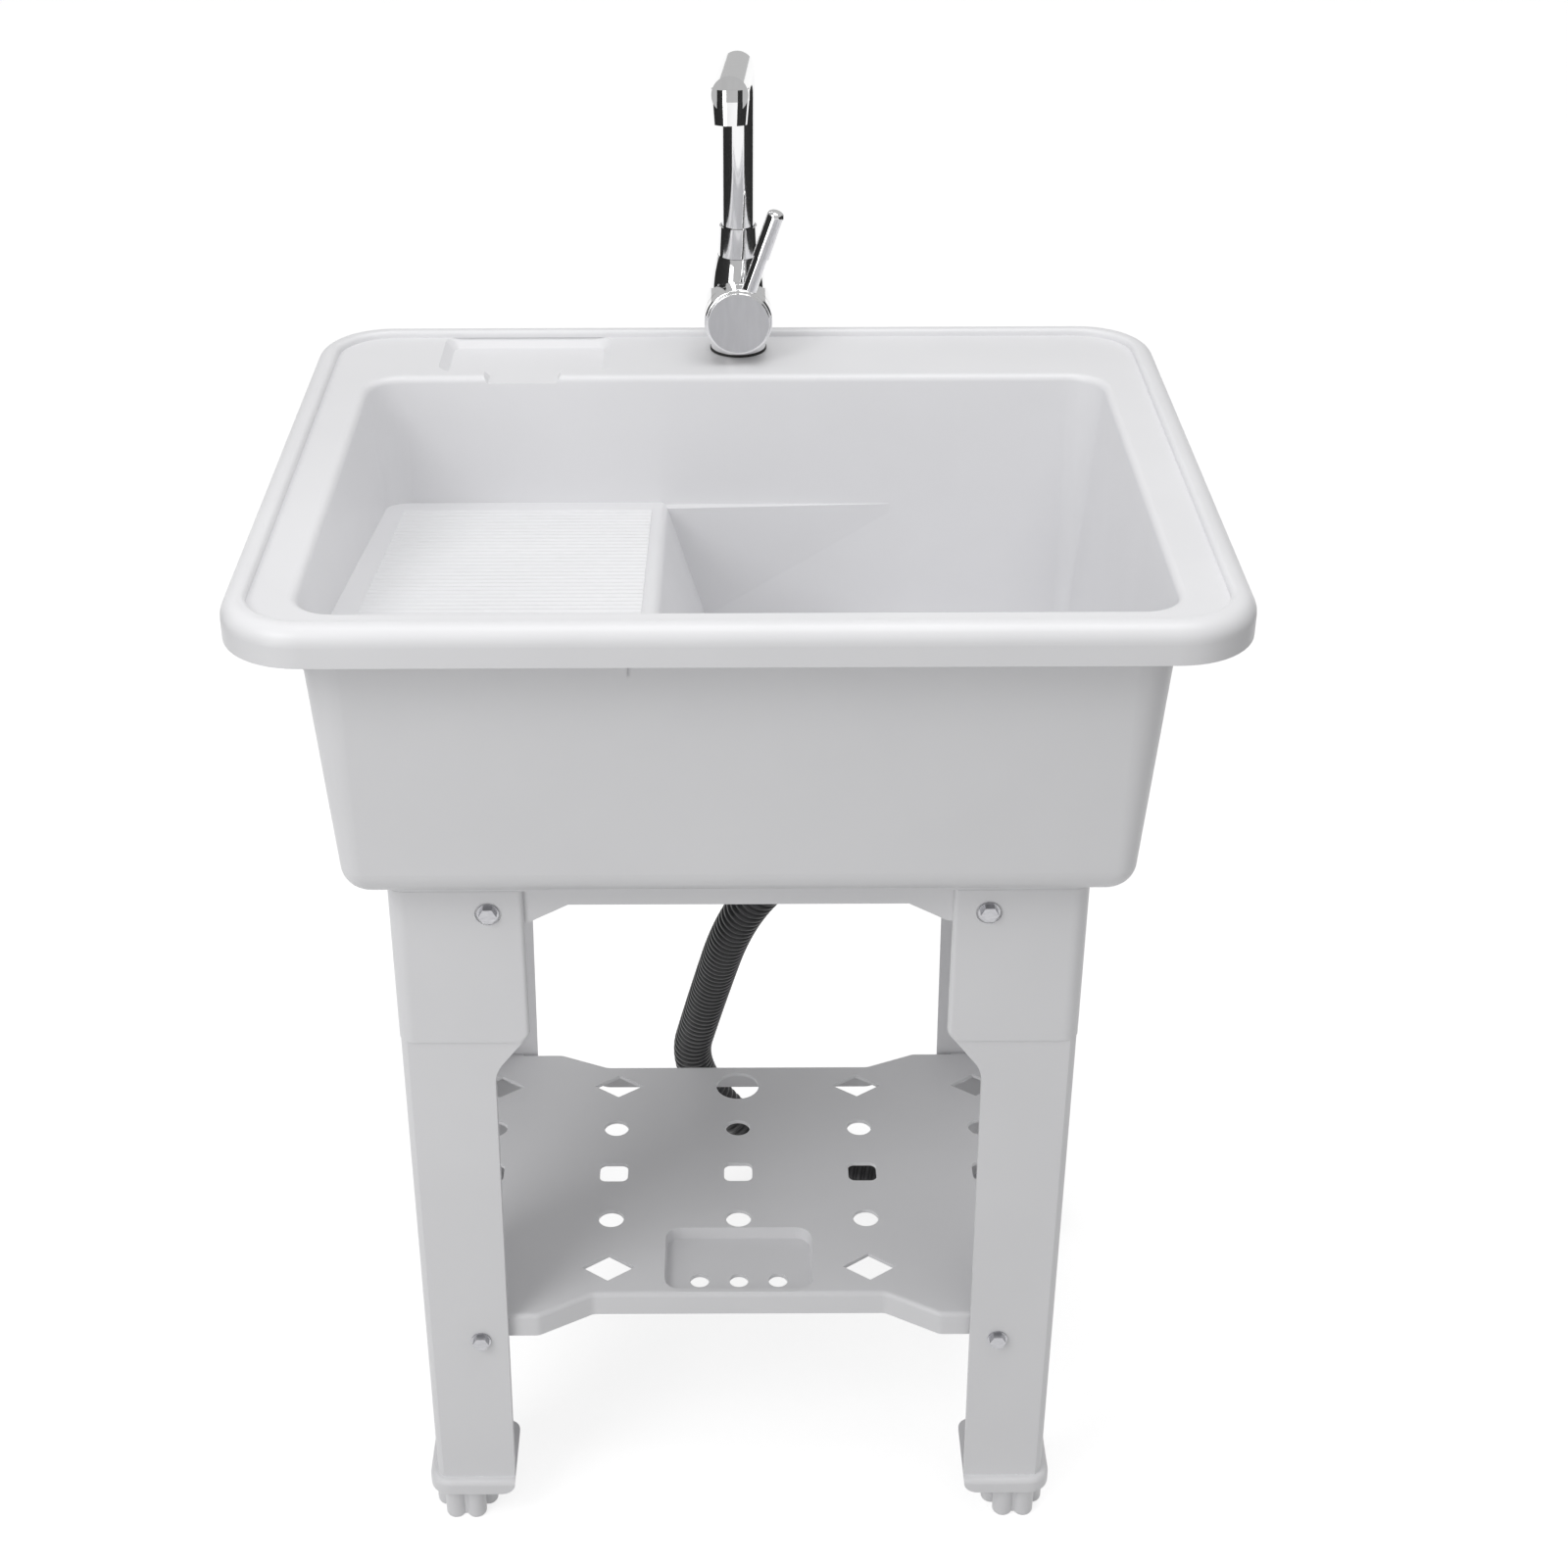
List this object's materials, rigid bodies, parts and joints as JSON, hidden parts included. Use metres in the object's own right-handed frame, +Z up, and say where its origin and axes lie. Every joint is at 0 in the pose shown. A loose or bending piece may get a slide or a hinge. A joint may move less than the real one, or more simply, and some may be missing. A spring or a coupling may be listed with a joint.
{
  "type": "utility laundry sink",
  "caption": "Freestanding moulded laundry sink with sloped washboard and deep bowl on levelling legs, with lower shelf, swivel lever tap, basket strainer and corrugated drain hose",
  "frame": {"origin": "on the floor under the middle of the rim", "axes": "+Z up, +Y towards the back where the tap stands, +X to the right of someone at the sink"},
  "size_m": [0.6, 0.5, 1.0116],
  "materials": {
    "white_plastic": "satin moulded",
    "steel": "zinc plated or bare stainless",
    "brass": "machined",
    "rubber": "moulded",
    "grey_plastic": "moulded",
    "hose_plastic": "corrugated",
    "chrome": "polished"
  },
  "bodies": {
    "sink": {"tub": "white_plastic", "leg_front_left": "white_plastic", "leg_front_right": "white_plastic", "leg_back_left": "white_plastic", "leg_back_right": "white_plastic", "shelf": "white_plastic", "leg_bolts": "steel", "leg_washers": "steel", "leg_nuts": "steel", "foot_inserts": "brass", "drain_flange": "steel", "drain_top_gasket": "rubber", "drain_lower_gasket": "rubber", "drain_body": "grey_plastic", "drain_screw": "steel", "hose_seal": "rubber", "hose_nut": "grey_plastic", "drain_hose": "hose_plastic", "hose_cuff": "grey_plastic", "tap_base_gasket": "rubber", "tap_body": "chrome", "tap_shank": "brass", "tap_washer": "rubber", "tap_clamp_plate": "steel", "tap_nut": "brass", "cartridge_body": "grey_plastic", "cartridge_nut": "brass", "spout_nut": "chrome"},
    "turret": {"cartridge_turret": "grey_plastic", "stem_pin": "steel"},
    "handle": {"cartridge_stem": "brass", "handle_hub": "chrome", "handle_screw": "steel", "handle_cap": "chrome", "lever_rod": "chrome", "lever_grip": "chrome"},
    "spout": {"spout_tube": "chrome", "spout_orings": "rubber", "spout_bearing": "grey_plastic", "aerator_housing": "chrome", "aerator_insert": "grey_plastic"},
    "strainer": {"basket_strainer": "steel"},
    "stud_front_left": {"foot_stud_front_left": "steel"},
    "knob_front_left": {"foot_knob_front_left": "white_plastic"},
    "stud_front_right": {"foot_stud_front_right": "steel"},
    "knob_front_right": {"foot_knob_front_right": "white_plastic"},
    "stud_back_left": {"foot_stud_back_left": "steel"},
    "knob_back_left": {"foot_knob_back_left": "white_plastic"},
    "stud_back_right": {"foot_stud_back_right": "steel"},
    "knob_back_right": {"foot_knob_back_right": "white_plastic"}
  },
  "joints": [
    {"name": "handle_turn", "type": "hinge", "parent": "sink", "child": "turret", "pos_m": [0.002, 0.212, 0.8064], "axis": [0, 1, 0], "range_deg": [-64, 26]},
    {"name": "handle_tilt", "type": "hinge", "parent": "turret", "child": "handle", "pos_m": [0.002, 0.2, 0.8064], "axis": [0.9455, 0, -0.3256], "range_deg": [0, 18]},
    {"name": "spout_swivel", "type": "hinge", "parent": "sink", "child": "spout", "pos_m": [0.002, 0.212, 0.9], "axis": [0, 0, 1], "continuous": true},
    {"name": "strainer_lift", "type": "slide", "parent": "sink", "child": "strainer", "axis": [0, 0, 1], "range_m": [0, 0.06]},
    {"name": "foot_slide_front_left", "type": "slide", "parent": "sink", "child": "stud_front_left", "axis": [0, 0, -1], "range_m": [0, 0.009]},
    {"name": "foot_turn_front_left", "type": "hinge", "parent": "stud_front_left", "child": "knob_front_left", "pos_m": [-0.204, -0.152, 0.015], "axis": [0, 0, -1], "range_deg": [0, 2160]},
    {"name": "foot_slide_front_right", "type": "slide", "parent": "sink", "child": "stud_front_right", "axis": [0, 0, -1], "range_m": [0, 0.009]},
    {"name": "foot_turn_front_right", "type": "hinge", "parent": "stud_front_right", "child": "knob_front_right", "pos_m": [0.204, -0.152, 0.015], "axis": [0, 0, -1], "range_deg": [0, 2160]},
    {"name": "foot_slide_back_left", "type": "slide", "parent": "sink", "child": "stud_back_left", "axis": [0, 0, -1], "range_m": [0, 0.009]},
    {"name": "foot_turn_back_left", "type": "hinge", "parent": "stud_back_left", "child": "knob_back_left", "pos_m": [-0.204, 0.134, 0.015], "axis": [0, 0, -1], "range_deg": [0, 2160]},
    {"name": "foot_slide_back_right", "type": "slide", "parent": "sink", "child": "stud_back_right", "axis": [0, 0, -1], "range_m": [0, 0.009]},
    {"name": "foot_turn_back_right", "type": "hinge", "parent": "stud_back_right", "child": "knob_back_right", "pos_m": [0.204, 0.134, 0.015], "axis": [0, 0, -1], "range_deg": [0, 2160]}
  ],
  "couplings": [
    {"joint": "foot_turn_front_left", "follows": "foot_slide_front_left", "rad_per_m": 4188.8},
    {"joint": "foot_turn_front_right", "follows": "foot_slide_front_right", "rad_per_m": 4188.8},
    {"joint": "foot_turn_back_left", "follows": "foot_slide_back_left", "rad_per_m": 4188.8},
    {"joint": "foot_turn_back_right", "follows": "foot_slide_back_right", "rad_per_m": 4188.8}
  ]
}
